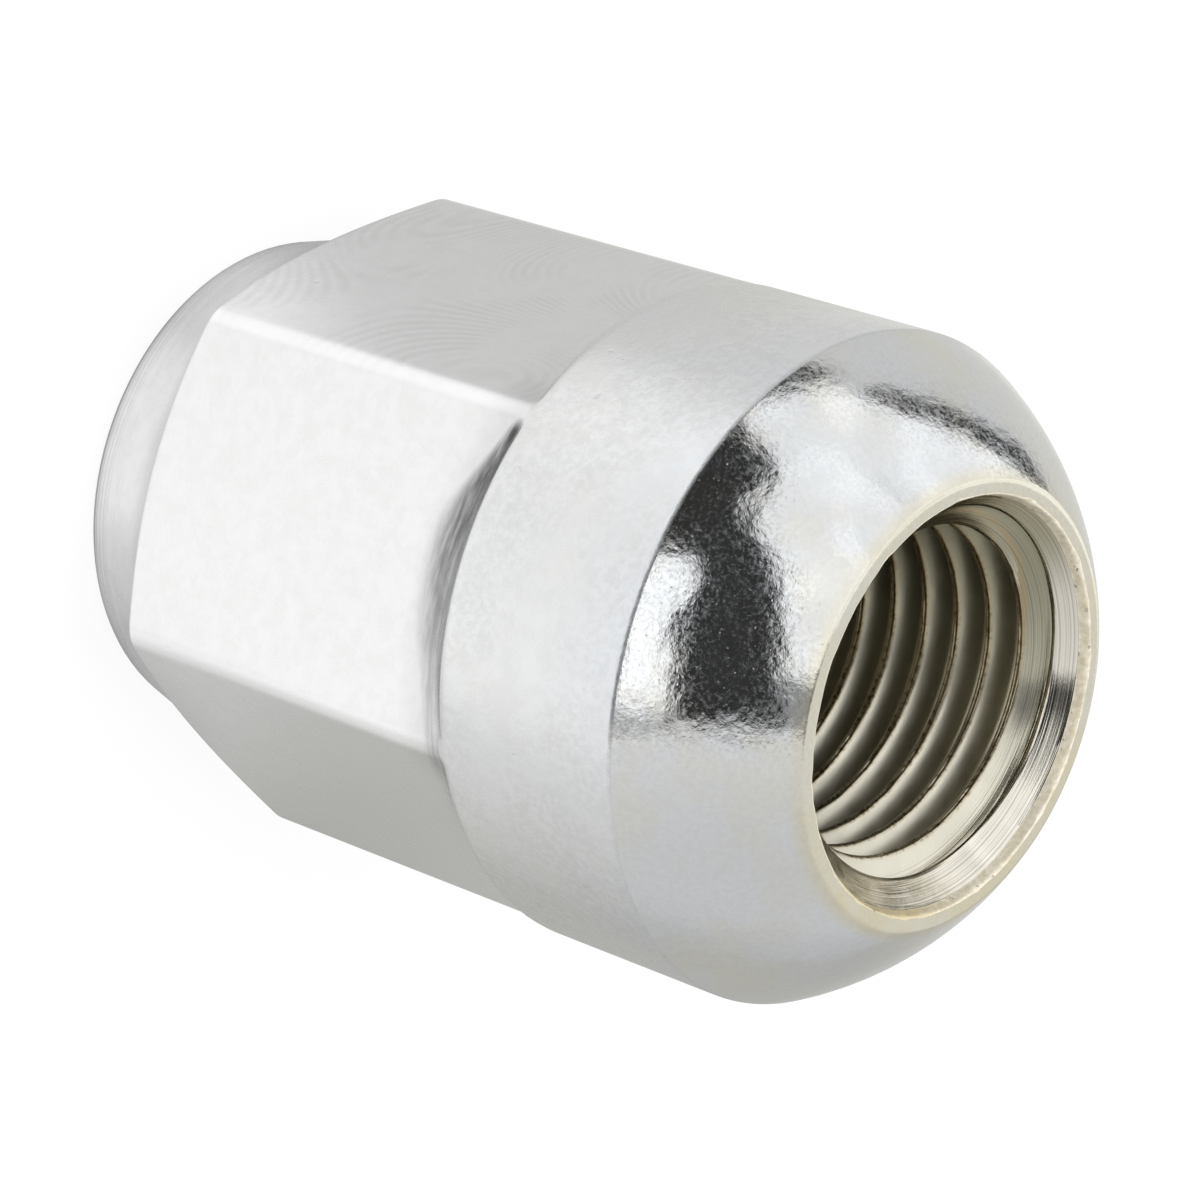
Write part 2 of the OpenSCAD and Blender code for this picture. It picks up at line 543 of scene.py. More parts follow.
@dataclass
class Thread:
    """Right-hand metric thread between the countersink and the drill point."""

    diameter: float = 14.0
    pitch: float = 1.5
    crest_level: float = 0.9965
    lead_slope: float = 1.0
    runout_z: float = 14.5
    runout_len: float = 2.2
    root_relief: float = 0.2
    crest_half: float = 0.12
    crest_soft: float = 0.1
    root_soft: float = 0.12
    seam_depth: float = 0.05
    seam_half: float = 0.04
    flank_angle: float = math.radians(60.0)
    burr: float = 0.05
    burr_least: float = 0.9
    burr_most: float = 1.2
    burr_waves: tuple[Triple, ...] = (
        (7.0, 0.6, 1.0),
        (17.3, 2.1, 0.8),
        (41.9, 4.4, 0.6),
    )
    lip_soft: float = 0.04
    end_wall: float = 3.2
    drill_half: float = math.radians(59.0)
    drill_flat: float = 1.2
    drill_rows: int = 10
    middle_r: float = 0.2
    stations: Array = field(
        default_factory=lambda: np.array(
            [0.0, 0.03, 0.07, 0.11, 0.16, 0.24, 0.35, 0.46, 0.56, 0.64, 0.7]
        )
    )

    @property
    def height(self) -> float:
        """Depth of the thread, five eighths of its basic triangle."""
        return 5 / 8 * math.sqrt(3) / 2 * self.pitch

    @property
    def core_r(self) -> float:
        """Radius of the crests, which is the core bore's."""
        return self.diameter / 2 - self.height

    def section(self, offset: Array) -> Array:
        """Radius across one turn, with sixty-degree flanks.

        It is flat beside the crest's middle, climbs a flank, and is flat
        again at the root, with both bends rounded off. The crest carries the
        narrow seam that a forming tap leaves.

        Args:
            offset: Distance along the axis from the crest's middle.

        Returns:
            Radius at each distance.
        """
        flank = (np.abs(offset) - self.crest_half) * math.tan(self.flank_angle)
        limit = self.height + self.root_relief
        low = soft_max(flank, 0.0, self.crest_soft)
        depth = limit - soft_max(limit - low, 0.0, self.root_soft)
        seam = self.seam_depth * np.exp(-((offset / self.seam_half) ** 2))
        return self.core_r + depth + seam

    def sheet(self, angles: Array, top_r: float, top_z: float) -> "ThreadSheet":
        """Works out the helical sheet of the thread.

        Row lines follow the helix: a row's height is its own station plus a
        pitch times the share of the turn. The radius is the smooth maximum of
        the section's and the countersink's, and it fades to the plain core
        bore at the thread's lower end. Crests carry small burrs.

        Args:
            angles: Column angles.
            top_r: Radius of the ring that the sheet hangs from.
            top_z: Height of that ring.

        Returns:
            The sheet, with its points and which of them lie past its ends.
        """
        turn = np.concatenate(
            [self.stations, [self.pitch / 2], self.pitch - self.stations[:0:-1]]
        )
        low = self.runout_z
        # Spare turns lie below and above, which the two ends cut off
        first = math.floor((low - self.crest_level) / self.pitch) - 1
        count = math.ceil((top_z - low) / self.pitch) + 3
        starts = self.crest_level + self.pitch * (first + np.arange(count))
        station = (starts[:, None] + turn[None, :]).ravel()
        climb = self.pitch * angles / (2 * math.pi)
        height = station[:, None] + climb[None, :]
        offset = np.mod(turn + self.pitch / 2, self.pitch) - self.pitch / 2
        profile = np.tile(self.section(offset), count)[:, None]
        crest = np.exp(-((np.tile(offset, count) / self.crest_half) ** 2))[:, None]
        turns = (station[:, None] - self.crest_level) / self.pitch
        burrs = ripple(2 * math.pi * turns + angles, self.burr_waves)
        burrs = np.clip(burrs - self.burr_least, 0.0, self.burr_most)
        full = low + self.runout_len
        radius = profile + self.burr * crest * burrs
        radius = mix(self.core_r, radius, smooth(low, full, height))
        cone = top_r - (top_z - height) / self.lead_slope
        joined = soft_max(radius, cone, self.lip_soft)
        radius = np.where(height > full, joined, radius)
        return ThreadSheet(radius, height, turn.size, low, top_z)

    def drill_bands(self, loom: Loom) -> list[Band]:
        """Strips below the thread: plain core, drill point and its flat.

        Args:
            loom: Maker of bands.

        Returns:
            Core bore, drill cone and the flat at the bottom.
        """
        flat_r = self.drill_flat / 2
        point_z = self.end_wall + (self.core_r - flat_r) / math.tan(self.drill_half)
        low = (self.core_r, self.runout_z)
        knee = (self.core_r, point_z)
        tip = (flat_r, self.end_wall)
        return [
            loom.line(Zone.BORE, low, knee, eased(self.drill_rows)),
            loom.line(Zone.BORE, knee, tip, eased(self.drill_rows)),
            loom.line(Zone.BORE, tip, (self.middle_r, self.end_wall), even(1)),
        ]


@dataclass
class ThreadSheet:
    """Points of the thread's helical sheet, before its ends are closed."""

    radius: Array
    height: Array
    turn_rows: int
    low: float
    top: float
    slack: float = 0.012

    def quads(
        self, first: int, low_ring: Array, top_ring: Array
    ) -> tuple[Array, Array]:
        """Joins the sheet to the rings at its two ends.

        A point past an end becomes the ring's point of its column. The seam
        joins each row's last column to the row one turn further on, so a
        square may shrink to a triangle or to nothing.

        Args:
            first: Number that the sheet's first kept point will get.
            low_ring: Point numbers of the ring at the lower end.
            top_ring: Point numbers of the ring at the upper end.

        Returns:
            Mask of the kept points, and the faces with -1 for no corner.
        """
        over = self.height > self.top - self.slack
        under = self.height < self.low + self.slack
        kept = ~(over | under)
        numbers = np.full(self.height.shape, -1)
        numbers[kept] = first + np.arange(int(kept.sum()))
        numbers = np.where(over, top_ring[None, :], numbers)
        numbers = np.where(under, low_ring[None, :], numbers)
        numbers = self._wrap(numbers, top_ring[0])
        a, b = numbers[:-1, :-1].ravel(), numbers[1:, :-1].ravel()
        c, d = numbers[1:, 1:].ravel(), numbers[:-1, 1:].ravel()
        none = np.full_like(a, -1)
        faces = np.stack([a, b, c, d], axis=1)
        faces[a == b] = np.stack([a, c, d, none], axis=1)[a == b]
        faces[c == d] = np.stack([a, b, c, none], axis=1)[c == d]
        return kept, faces[(a != b) | (c != d)]

    def _wrap(self, grid: Array, beyond: int) -> Array:
        """Adds the seam column: the first one, read one turn further on.

        Args:
            grid: Point numbers, rows by columns.
            beyond: Point number for the rows past the last turn.

        Returns:
            The grid with one more column.
        """
        seam = np.full(grid.shape[0], beyond)
        seam[: -self.turn_rows] = grid[self.turn_rows :, 0]
        return np.concatenate([grid, seam[:, None]], axis=1)


@dataclass
class Skin:
    """Closed skin under construction: points, faces and their zones."""

    angles: Array
    points: list[Array] = field(default_factory=list)
    faces: list[Array] = field(default_factory=list)
    zones: list[Array] = field(default_factory=list)
    size: int = 0

    def add_points(self, radius: Array, angle: Array, height: Array) -> Array:
        """Adds points given by radius, angle and height.

        Args:
            radius: Distance from the axis.
            angle: Angle around the axis.
            height: Height above the standing face.

        Returns:
            The new points' numbers, in the shape of the radius.
        """
        x, y = radius * np.cos(angle), radius * np.sin(angle)
        self.points.append(np.stack([x, y, height], axis=-1).reshape(-1, 3))
        numbers = self.size + np.arange(radius.size).reshape(radius.shape)
        self.size += radius.size
        return numbers

    def add_faces(self, faces: Array, zone: Array) -> None:
        """Adds faces.

        Args:
            faces: Point numbers of four corners, with -1 for a missing fourth.
            zone: Slot number of each face's finish.
        """
        self.faces.append(faces)
        self.zones.append(zone)

    def add_bands(self, bands: list[Band]) -> Array:
        """Adds strips that follow on each other as one grid of squares.

        Args:
            bands: Strips in order; each starts on the last one's end.

        Returns:
            Point numbers, rows by columns.
        """
        rows = [(band.radius, band.height) for band in bands[:1]]
        rows += [(band.radius[1:], band.height[1:]) for band in bands[1:]]
        radius = np.concatenate([row[0] for row in rows])
        height = np.concatenate([row[1] for row in rows])
        steps = [band.radius.shape[0] - 1 for band in bands]
        zone = np.repeat([band.zone.value for band in bands], steps)
        angle = np.broadcast_to(self.angles, radius.shape)
        numbers = self.add_points(radius, angle, height)
        after = np.roll(numbers, -1, axis=1)
        corners = [numbers[:-1], after[:-1], after[1:], numbers[1:]]
        faces = np.stack(corners, axis=-1).reshape(-1, 4)
        self.add_faces(faces, np.repeat(zone, self.angles.size))
        return numbers

    def add_pole(self, ring: Array, height: float, zone: Zone, first: bool) -> None:
        """Closes a ring with a fan of triangles to a point on the axis.

        Args:
            ring: Point numbers of the ring.
            height: Height of the point on the axis.
            zone: Finish of the fan.
            first: Whether the fan comes before the ring along the skin.
        """
        pole = self.add_points(np.zeros(1), np.zeros(1), np.array([height]))
        tip = np.broadcast_to(pole, ring.shape)
        after = np.roll(ring, -1)
        fan = [tip, after, ring] if first else [ring, after, tip]
        faces = np.stack(fan + [np.full_like(ring, -1)], axis=1)
        self.add_faces(faces, np.full(ring.size, zone.value))

    def mesh(self, name: str) -> bpy.types.Mesh:
        """Puts the skin into a mesh in metres.

        Args:
            name: Name of the mesh.

        Returns:
            The mesh, smooth, with one material slot number per face.
        """
        points = np.concatenate(self.points) * MM
        faces = np.concatenate(self.faces)
        sides = (faces >= 0).sum(axis=1)
        starts = np.concatenate([[0], np.cumsum(sides)[:-1]])
        mesh = bpy.data.meshes.new(name)
        mesh.vertices.add(len(points))
        mesh.vertices.foreach_set("co", points.ravel())
        mesh.loops.add(int(sides.sum()))
        mesh.loops.foreach_set("vertex_index", faces[faces >= 0].astype(np.int32))
        mesh.polygons.add(len(faces))
        mesh.polygons.foreach_set("loop_start", starts.astype(np.int32))
        zones = np.concatenate(self.zones).astype(np.int32)
        mesh.polygons.foreach_set("material_index", zones)
        mesh.polygons.foreach_set("use_smooth", np.ones(len(faces), dtype=bool))
        mesh.update(calc_edges=True)
        mesh.validate()
        return mesh


# Shader nodes


def per_mm(size: float) -> float:
    """Scale of a noise whose grains have a size in millimetres."""
    return 1 / (size * MM)


@dataclass(frozen=True)
class Ramp:
    """Smooth step: start up to the low level, end from the high level on."""

    low: float
    high: float
    start: float = 0.0
    end: float = 1.0


class Nodes:
    """Short calls for the nodes that the finishes and the studio use."""

    def __init__(self, tree: bpy.types.NodeTree) -> None:
        """Keeps the tree that the nodes go into."""
        self.tree = tree

    def feed(self, socket: Socket, value: Operand) -> None:
        """Links a socket to another node's output, or sets its value.

        Args:
            socket: Socket to feed.
            value: Another node's output, or a constant.
        """
        if isinstance(value, bpy.types.NodeSocket):
            self.tree.links.new(value, socket)
        else:
            socket.default_value = value

    def add(self, kind: str, inputs: Inputs = (), **settings: object) -> bpy.types.Node:
        """Adds a node.

        Args:
            kind: Blender's name of the node's type.
            inputs: What its inputs get, by name or from the first one on.
            settings: Properties to set on the node.

        Returns:
            The node.
        """
        node = self.tree.nodes.new(kind)
        for key, value in settings.items():
            setattr(node, key, value)
        pairs = inputs.items() if isinstance(inputs, dict) else enumerate(inputs)
        for key, value in pairs:
            self.feed(node.inputs[key], value)
        return node

    def math(self, operation: str, *values: Operand) -> Socket:
        """Result of a Math node."""
        return self.add("ShaderNodeMath", values, operation=operation).outputs["Value"]

    def product(self, *values: Operand) -> Socket:
        """Product of all the values."""
        return reduce(lambda a, b: self.math("MULTIPLY", a, b), values)

    def vector(self, operation: str, *values: Operand) -> bpy.types.Node:
        """Vector Math node of an operation."""
        return self.add("ShaderNodeVectorMath", values, operation=operation)

    def dot(self, a: Operand, b: Operand) -> Socket:
        """Scalar product of two vectors."""
        return self.vector("DOT_PRODUCT", a, b).outputs["Value"]

    def unit(self, way: Operand) -> Socket:
        """Vector of the same direction and the length 1."""
        return self.vector("NORMALIZE", way).outputs["Vector"]

    def length(self, way: Operand) -> Socket:
        """Length of a vector."""
        return self.vector("LENGTH", way).outputs["Value"]

    def across(self, place: Operand) -> Socket:
        """Part of a place that is square to the axis."""
        return self.vector("MULTIPLY", place, (1.0, 1.0, 0.0)).outputs["Vector"]

    def radius(self, place: Operand) -> Socket:
        """Distance of a place from the axis."""
        return self.length(self.across(place))

    def heading(self, place: Operand, azimuth: float) -> Socket:
        """Cosine of the turn around the axis from an azimuth to a place."""
        way = (math.cos(azimuth), math.sin(azimuth), 0.0)
        return self.dot(self.unit(self.across(place)), way)

    def axes(self, place: Operand) -> bpy.types.NodeOutputs:
        """X, Y and Z of a place."""
        return self.add("ShaderNodeSeparateXYZ", (place,)).outputs

    def step(self, *values: Operand) -> Socket:
        """Smooth step of a value: its low and high level, then start and end."""
        made = self.add("ShaderNodeMapRange", values, interpolation_type="SMOOTHSTEP")
        return made.outputs["Result"]

    def ramp(self, value: Operand, ramp: Ramp, unit: float = 1.0) -> Socket:
        """Smooth step of a ramp, with its levels in a unit."""
        return self.step(value, ramp.low * unit, ramp.high * unit, ramp.start, ramp.end)

    def within(self, *sides: tuple[Operand, Ramp], unit: float = 1.0) -> Socket:
        """Product of several ramps, each with the value that runs through it."""
        return self.product(*(self.ramp(value, ramp, unit) for value, ramp in sides))

    def blend(
        self, share: Operand, a: Operand, b: Operand, how: str = "MIX"
    ) -> Socket:
        """Mixes two colours.

        Args:
            share: Share of the second colour.
            a: First colour.
            b: Second colour.
            how: Blend type.

        Returns:
            The mixed colour.
        """
        node = self.add(
            "ShaderNodeMix", {"Factor": share}, data_type="RGBA", blend_type=how
        )
        sockets = [socket for socket in node.inputs if socket.type == "RGBA"]
        for socket, value in zip(sockets, (a, b)):
            self.feed(socket, (*value, 1.0) if isinstance(value, tuple) else value)
        return [socket for socket in node.outputs if socket.type == "RGBA"][0]

    def fade(self, share: Operand, a: Operand, b: Operand) -> Socket:
        """Number that lies the given share of the way from a to b."""
        inputs = {"Factor": share, "A": a, "B": b}
        return self.add("ShaderNodeMix", inputs, data_type="FLOAT").outputs["Result"]

    def noise(
        self,
        place: Operand,
        scale: Operand,
        detail: float = 2.0,
        rough: float = 0.5,
        twist: float = 0.0,
    ) -> Socket:
        """Adds a Noise Texture.

        Args:
            place: Vector at which the noise is read.
            scale: Grains per unit of length.
            detail: Number of finer layers.
            rough: Strength of the finer layers.
            twist: Distortion of the noise.

        Returns:
            Its value, about 0 to 1.
        """
        inputs = {"Vector": place, "Scale": scale, "Detail": detail}
        inputs |= {"Roughness": rough, "Distortion": twist}
        return self.add("ShaderNodeTexNoise", inputs).outputs["Fac"]


@dataclass
class Effect:
    """Node groups that several finishes share, built once."""

    cloud_ends: Ramp = Ramp(0.3, 0.7)
    swirl_lines: float = 520.0
    crook: float = 0.7
    crook_scale: float = 2.2
    pit_core: float = 0.04
    pit_least: float = 0.14
    pit_spread: float = 0.24
    waver: float = 0.12
    waver_mm: float = 6.25

    def __post_init__(self) -> None:
        """Builds the groups."""
        self.clouds = self._clouds()
        self.pits = self._pits()
        self.lathe = self._lathe()

    @staticmethod
    def _start(
        name: str, sizes: tuple[str, ...], outputs: tuple[str, ...]
    ) -> tuple[Nodes, bpy.types.NodeOutputs, bpy.types.NodeInputs]:
        """Makes an empty group with its sockets, the first one the place.

        Args:
            name: Name of the group.
            sizes: Names of the inputs that are numbers.
            outputs: Names of the outputs.

        Returns:
            The group's nodes, what comes in, and the sockets that go out.
        """
        tree = bpy.data.node_groups.new(name, "ShaderNodeTree")
        sockets = [("Place", "INPUT", "NodeSocketVector")]
        sockets += [(key, "INPUT", "NodeSocketFloat") for key in sizes]
        sockets += [(key, "OUTPUT", "NodeSocketFloat") for key in outputs]
        for key, way, kind in sockets:
            tree.interface.new_socket(key, in_out=way, socket_type=kind)
        nodes = Nodes(tree)
        into, out = nodes.add("NodeGroupInput"), nodes.add("NodeGroupOutput")
        return nodes, into.outputs, out.inputs

    def _clouds(self) -> bpy.types.NodeTree:
        """Uneven plating: soft clouds, and a swirl of fine curled lines.

        The swirl is the sine of a smooth noise, so its lines run like the
        contours of a map.

        Returns:
            The group.
        """
        nodes, into, out = self._start(
            "plating_clouds", ("Cloud Scale", "Swirl Scale"), ("Cloud", "Swirl")
        )
        scale = into["Cloud Scale"]
        cloud = nodes.noise(into["Place"], scale, detail=4.0, rough=0.6, twist=0.3)
        nodes.feed(out["Cloud"], nodes.ramp(cloud, self.cloud_ends))
        scale = into["Swirl Scale"]
        flow = nodes.noise(into["Place"], scale, detail=0.0, rough=0.35, twist=0.2)
        lines = nodes.math("SINE", nodes.product(flow, self.swirl_lines))
        nodes.feed(out["Swirl"], nodes.math("MULTIPLY_ADD", lines, 0.5, 0.5))
        return nodes.tree

    def _pits(self) -> bpy.types.NodeTree:
        """Fine grain and scattered, uneven pits of the steel below.

        A pit lies at the middle of a cell of crooked space. Each cell draws
        by its own colour whether it has one, and how wide.

        Returns:
            The group.
        """
        nodes, into, out = self._start(
            "plating_pits", ("Grain Scale", "Pit Scale", "Pit Share"), ("Grain", "Pit")
        )
        grain = nodes.noise(into["Place"], into["Grain Scale"], detail=3.0, rough=0.6)
        nodes.feed(out["Grain"], grain)
        scaled = nodes.vector("SCALE", into["Place"])
        nodes.feed(scaled.inputs["Scale"], into["Pit Scale"])
        place = scaled.outputs["Vector"]
        crooked = {"Vector": place, "Scale": self.crook_scale}
        shift = nodes.add("ShaderNodeTexNoise", crooked).outputs["Color"]
        bend = (self.crook, self.crook, self.crook)
        place = nodes.vector("MULTIPLY_ADD", shift, bend, place).outputs["Vector"]
        cell = {"Vector": place, "Scale": 1.0, "Randomness": 1.0}
        cells = nodes.add("ShaderNodeTexVoronoi", cell, feature="F1").outputs
        lot = nodes.add("ShaderNodeSeparateColor", {"Color": cells["Color"]}).outputs
        chosen = nodes.math("LESS_THAN", lot["Red"], into["Pit Share"])
        size = nodes.math("MULTIPLY_ADD", lot["Green"], self.pit_spread, self.pit_least)
        hole = nodes.step(cells["Distance"], self.pit_core, size, 1.0, 0.0)
        nodes.feed(out["Pit"], nodes.product(hole, chosen))
        return nodes.tree

    def _lathe(self) -> bpy.types.NodeTree:
        """Turning lines: noise read along the turned outline alone.

        Returns:
            The group.
        """
        nodes, into, out = self._start("turning_lines", ("Line Scale",), ("Line",))
        place = into["Place"]
        along = nodes.math("ADD", nodes.axes(place)["Z"], nodes.radius(place))
        waver = nodes.noise(place, per_mm(self.waver_mm), detail=1.0)
        along = nodes.math("MULTIPLY_ADD", waver, self.waver * MM, along)
        line = nodes.add("ShaderNodeCombineXYZ", {"Z": along}).outputs["Vector"]
        nodes.feed(out["Line"], nodes.noise(line, into["Line Scale"], rough=0.7))
        return nodes.tree


# Finishes


class Surface:
    """What a finish reads at a point of the nut: its place and the clouds."""

    def __init__(self, nodes: Nodes, place: Socket, cloud: Socket) -> None:
        """Works out the place's three axes and its distance from the nut's.

        Args:
            nodes: Nodes of the material.
            place: The object's coordinates.
            cloud: Share of the clouds.
        """
        self.nodes = nodes
        self.place = place
        self.cloud = cloud
        self.x, self.y, self.z = nodes.axes(place)
        self.radius = nodes.radius(place)

    def facing(self, azimuth: float, turn: Ramp) -> Socket:
        """Share of the side that lies towards an azimuth."""
        return self.nodes.ramp(self.nodes.heading(self.place, azimuth), turn)

    def spread(self, size: float, ends: Ramp) -> Socket:
        """Share of soft patches of a size in millimetres."""
        return self.nodes.ramp(self.nodes.noise(self.place, per_mm(size)), ends)


@dataclass(frozen=True)
class Finish:
    """Plated steel surface: its colours, gloss and fine relief."""

    name: str
    colour: Colour
    shade: Colour
    gloss: Span
    metal: float = 1.0
    cloud_mm: float = 1.0
    swirl_mm: float = 6.0
    swirl_shade: float = 0.0
    swirl_ends: Span = (0.0, 1.0)
    held_way: float = math.radians(-150.0)
    held_turn: Ramp = Ramp(0.84, 0.90, 0.12, 1.0)
    held_mm: float = 4.0
    held_ends: Ramp = Ramp(0.38, 0.56)
    grain_mm: float = 0.25
    grain_depth: float = 0.004
    grain_shade: float = 0.0
    grain_ends: Span = (0.38, 0.62)
    patch_mm: float = 5.0
    patch_ends: Ramp = Ramp(0.32, 0.52)
    pit_mm: float = 0.6
    pit_share: float = 0.3
    pit_depth: float = 0.0
    pit_shade: float = 0.0
    pit_ends: Span = (1.0, 0.0)
    line_mm: float = 0.2
    line_depth: float = 0.0
    line_shade: float = 0.0
    line_ends: Span = (0.38, 0.56)
    wave_mm: float = 3.0
    wave_depth: float = 0.0
    stain: Colour = (0.80, 0.78, 0.69)
    stain_mm: float = 3.0
    stain_ends: Span = (0.4, 0.68)
    stain_share: float = 0.0

    def material(self, effect: Effect) -> bpy.types.Material:
        """Makes the material.

        Clouds mix the colour with its shade and the roughness between its
        two ends. Swirls, pits, grain and turning lines shade the colour, the
        swirls where the nut was held and the grain in patches. Grain, pits,
        lines and long waves also add up to one height in millimetres, which
        a Bump node turns into the normal.

        Args:
            effect: Shared node groups.

        Returns:
            The material.
        """
        made = bpy.data.materials.new(self.name)
        made.use_nodes = True
        nodes = Nodes(made.node_tree)
        place = nodes.add("ShaderNodeTexCoord").outputs["Object"]
        groups = (
            (effect.clouds, (self.cloud_mm, self.swirl_mm)),
            (effect.pits, (self.grain_mm, self.pit_mm)),
            (effect.lathe, (self.line_mm,)),
        )
        clouds, pits, lathe = (
            nodes.add("ShaderNodeGroup", (place, *map(per_mm, sizes)), node_tree=tree)
            for tree, sizes in groups
        )
        pits.inputs["Pit Share"].default_value = self.pit_share
        (cloud, swirl), (grain, pit) = clouds.outputs, pits.outputs
        line = lathe.outputs["Line"]
        at = Surface(nodes, place, cloud)
        turned = self.turned(at)
        held = at.spread(self.held_mm, self.held_ends)
        held = nodes.product(at.facing(self.held_way, self.held_turn), held)
        patch = at.spread(self.patch_mm, self.patch_ends)
        marks = (
            (swirl, self.swirl_ends, self.swirl_shade, held),
            (pit, self.pit_ends, self.pit_shade, 1.0),
            (grain, self.grain_ends, self.grain_shade, patch),
            (line, self.line_ends, self.line_shade, turned),
        )
        colour = self._stained(at, self.tone(at))
        for mark, ends, shade, share in marks:
            if shade:
                dull = nodes.step(mark, *ends, 1.0 - shade, 1.0)
                dull = nodes.blend(1.0, colour, dull, "MULTIPLY")
                colour = nodes.blend(share, colour, dull)
        relief = (
            (grain, self.grain_depth),
            (pit, -self.pit_depth),
            (nodes.product(line, turned), self.line_depth),
            (nodes.noise(place, per_mm(self.wave_mm)), self.wave_depth),
        )
        height: Operand = 0.0
        for part, depth in relief:
            if depth:
                height = nodes.math("MULTIPLY_ADD", part, depth, height)
        bump = {"Distance": MM, "Strength": 1.0, "Height": height}
        shader = made.node_tree.nodes["Principled BSDF"]
        looks = {
            "Metallic": self.metal,
            "Base Color": colour,
            "Roughness": self.roughness(at),
            "Normal": nodes.add("ShaderNodeBump", bump).outputs["Normal"],
        }
        for key, value in looks.items():
            nodes.feed(shader.inputs[key], value)
        return made

    def _stained(self, at: Surface, colour: Socket) -> Socket:
        """Adds the soft warm stains that the plating bath leaves.

        Args:
            at: Point of the surface.
            colour: Colour without stains.

        Returns:
            The stained colour.
        """
        nodes = at.nodes
        scale = per_mm(self.stain_mm)
        spread = nodes.noise(at.place, scale, detail=3.0, rough=0.55, twist=0.4)
        share = nodes.step(spread, *self.stain_ends, 0.0, self.stain_share)
        return nodes.blend(share, colour, self.stain)

    def tone(self, at: Surface) -> Socket:
        """Colour over the surface, here the cloudy mix alone."""
        return at.nodes.blend(at.cloud, self.colour, self.shade)

    def roughness(self, at: Surface) -> Socket:
        """Roughness over the surface, here by the clouds alone."""
        return at.nodes.step(at.cloud, 0.0, 1.0, *self.gloss)

    def turned(self, at: Surface) -> Operand:
        """Share of the surface with turning lines, here all of it."""
        return 1.0


@dataclass(frozen=True)
class TintedFinish(Finish):
    """Plate that takes another tint above a level and towards one side."""

    tint: Colour = (0.74, 0.78, 0.83)
    tint_z: Ramp = Ramp(0.0, 1.0)
    tint_way: float = 0.0
    tint_turn: Ramp = Ramp(-0.6, 0.6, 1.0, 1.0)

    def tone(self, at: Surface) -> Socket:
        """Colour over the surface: the cloudy mix, tinted by height and side.

        Args:
            at: Point of the surface.

        Returns:
            The colour.
        """
        level = at.nodes.ramp(at.z, self.tint_z, MM)
        share = at.nodes.product(level, at.facing(self.tint_way, self.tint_turn))
        return at.nodes.blend(share, super().tone(at), self.tint)


@dataclass(frozen=True)
class FlatsFinish(Finish):
    """Plate of the hexagon: corners lightened by wear and a painted highlight, painted
    shade under the collar.
    """

    # Corners lightened: partly wear, partly a painted highlight along the ridges.
    worn_highlight: Colour = (0.91, 0.915, 0.91)
    worn_highlight_r: Ramp = Ramp(12.47, 12.547)
    # dark, soft and the ramps below paint shade under the collar's lip, mostly on the
    # front flat.
    dark: Colour = (0.05, 0.05, 0.05)
    lip_r: float = 12.6
    lip_z: float = 21.73
    lean: float = 0.8
    soft: Ramp = Ramp(0.3, 2.6, 0.16, 0.0)
    width: Ramp = Ramp(-6.0, -1.0, 0.75 * MM, 2.3 * MM)
    narrowing: Ramp = Ramp(0.5, 6.0, 1.0, 0.6)
    core: Ramp = Ramp(0.3, 0.95, 1.0, 0.0)
    lip_gap: Ramp = Ramp(0.0, 0.14, 0.4, 1.0)
    fade: Ramp = Ramp(-4.5, 6.5, 0.97, 0.45)
    onset: Ramp = Ramp(-6.2, -5.4)
    side: Ramp = Ramp(-10.4, -8.5, 1.0, 0.2)
    streak: Ramp = Ramp(0.32, 0.62, 0.66, 1.0)
    streak_scale: float = 480.0
    streak_squeeze: float = 8.0

    def tone(self, at: Surface) -> Socket:
        """Colour over the surface: lightened corners and a streaky hollow of painted
        shade.

        The painted shade goes by the drop below the collar's lip, less the lip's
        overhang there. It is widest and softest along the middle of the flat
        and fades to one end of it.

        Args:
            at: Point of the surface.

        Returns:
            The colour.
        """
        nodes = at.nodes
        # Painted highlight and wear: the corner rounds are lightened towards their
        # tips.
        worn_highlight = nodes.ramp(at.radius, self.worn_highlight_r, MM)
        plain = nodes.blend(worn_highlight, super().tone(at), self.worn_highlight)
        # Painted shade under the collar's lip: a dark streaky stroke and a soft band.
        eave = nodes.math("SUBTRACT", self.lip_r * MM, at.radius)
        drop = nodes.math("SUBTRACT", self.lip_z * MM, at.z)
        drop = nodes.math("MULTIPLY_ADD", eave, -self.lean, drop)
        width = nodes.within((at.x, self.width), (at.x, self.narrowing), unit=MM)
        side = (at.y, self.side)
        ends = ((drop, self.lip_gap), (at.x, self.fade), (at.x, self.onset), side)
        stroke = nodes.product(
            nodes.ramp(nodes.math("DIVIDE", drop, width), self.core),
            nodes.within(*ends, unit=MM),
            self._streaks(at, drop),
        )
        soft = nodes.within((drop, self.soft), side, unit=MM)
        return nodes.blend(nodes.math("MAXIMUM", stroke, soft), plain, self.dark)

    def _streaks(self, at: Surface, drop: Socket) -> Socket:
        """Streaks along the hollow: noise squeezed together down the drop.

        Args:
            at: Point of the surface.
            drop: Drop below the collar's lip.

        Returns:
            Strength of the shade by its streaks.
        """
        nodes = at.nodes
        spot = {"X": at.x, "Z": nodes.product(drop, self.streak_squeeze)}
        spot = nodes.add("ShaderNodeCombineXYZ", spot).outputs["Vector"]
        grain = nodes.noise(spot, self.streak_scale, detail=3.0, rough=0.6)
        return nodes.ramp(grain, self.streak)


